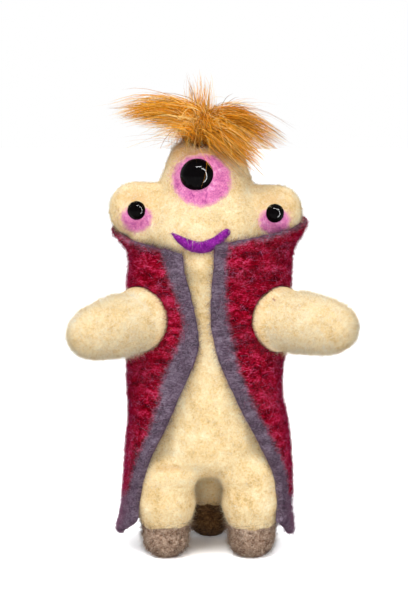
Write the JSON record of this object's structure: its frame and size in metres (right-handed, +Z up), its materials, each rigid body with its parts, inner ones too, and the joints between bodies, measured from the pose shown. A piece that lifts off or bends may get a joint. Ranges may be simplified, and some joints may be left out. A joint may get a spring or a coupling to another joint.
{
  "type": "wool soft toy",
  "caption": "Felted wool toy creature with a lobed head, bead eyes and a fur tuft, in an open lined felt coat; its arms turn at the shoulders and the coat's skirts swing outwards.",
  "frame": {"origin": "on the floor under the middle of the toy's outline, between its feet", "axes": "+Z up through the head, the toy faces -Y, and its own left is +X"},
  "size_m": [0.1313, 0.083, 0.2231],
  "materials": {
    "cream_wool": "matte needle-felted wool",
    "brown_wool": "matte mottled wool",
    "pink_wool": "matte felted wool",
    "purple_wool": "matte felted wool",
    "red_felt": "fuzzy mottled felt",
    "grey_felt": "fuzzy mottled felt",
    "ginger_fur": "glossy hair",
    "hide": "raw suede",
    "black_plastic": "polished",
    "waxed_thread": "waxed"
  },
  "bodies": {
    "toy": {"back_fur_lock": "ginger_fur", "coat_back": "red_felt", "coat_left_front": "red_felt", "coat_right_front": "red_felt", "crown_fur_lock": "ginger_fur", "front_fur_lock": "ginger_fur", "head": "cream_wool", "hide_patch": "hide", "left_eye_bead": "black_plastic", "left_eye_lobe": "cream_wool", "left_eye_patch": "pink_wool", "left_eye_thread": "waxed_thread", "left_front_foot_cap": "brown_wool", "left_front_leg": "cream_wool", "left_fur_lock": "ginger_fur", "lining_back": "grey_felt", "lining_left_front": "grey_felt", "lining_right_front": "grey_felt", "middle_eye_bead": "black_plastic", "middle_eye_patch": "pink_wool", "middle_eye_thread": "waxed_thread", "mouth": "purple_wool", "rear_foot_cap": "brown_wool", "rear_leg": "cream_wool", "right_eye_bead": "black_plastic", "right_eye_lobe": "cream_wool", "right_eye_patch": "pink_wool", "right_eye_thread": "waxed_thread", "right_front_foot_cap": "brown_wool", "right_front_leg": "cream_wool", "right_fur_lock": "ginger_fur", "shoulder_cord": "waxed_thread", "torso": "cream_wool"},
    "left_shoulder": {"left_shoulder_knot": "waxed_thread"},
    "left_arm": {"left_arm": "cream_wool"},
    "right_shoulder": {"right_shoulder_knot": "waxed_thread"},
    "right_arm": {"right_arm": "cream_wool"},
    "left_skirt": {"coat_left_skirt": "red_felt", "lining_left_skirt": "grey_felt"},
    "right_skirt": {"coat_right_skirt": "red_felt", "lining_right_skirt": "grey_felt"}
  },
  "joints": [
    {"name": "left_arm_swing", "type": "hinge", "parent": "toy", "child": "left_shoulder", "pos_m": [0.031, -0.01718, 0.1135], "axis": [0, 0, -1], "range_deg": [-12, 25]},
    {"name": "left_arm_raise", "type": "hinge", "parent": "left_shoulder", "child": "left_arm", "pos_m": [0.031, -0.01718, 0.1135], "axis": [-0.5, -0.866, 0], "range_deg": [-11, 29]},
    {"name": "right_arm_swing", "type": "hinge", "parent": "toy", "child": "right_shoulder", "pos_m": [-0.031, -0.01718, 0.1135], "axis": [0, 0, 1], "range_deg": [-12, 25]},
    {"name": "right_arm_raise", "type": "hinge", "parent": "right_shoulder", "child": "right_arm", "pos_m": [-0.031, -0.01718, 0.1135], "axis": [-0.5, 0.866, 0], "range_deg": [-15, 35]},
    {"name": "left_skirt_swing", "type": "hinge", "parent": "toy", "child": "left_skirt", "pos_m": [0.03975, 0, 0.046], "axis": [-0.0722, 0, 0.9974], "range_deg": [0, 55], "stiffness_Nm_per_rad": 0.002},
    {"name": "right_skirt_swing", "type": "hinge", "parent": "toy", "child": "right_skirt", "pos_m": [-0.03975, 0, 0.046], "axis": [-0.0722, 0, -0.9974], "range_deg": [0, 55], "stiffness_Nm_per_rad": 0.002}
  ]
}
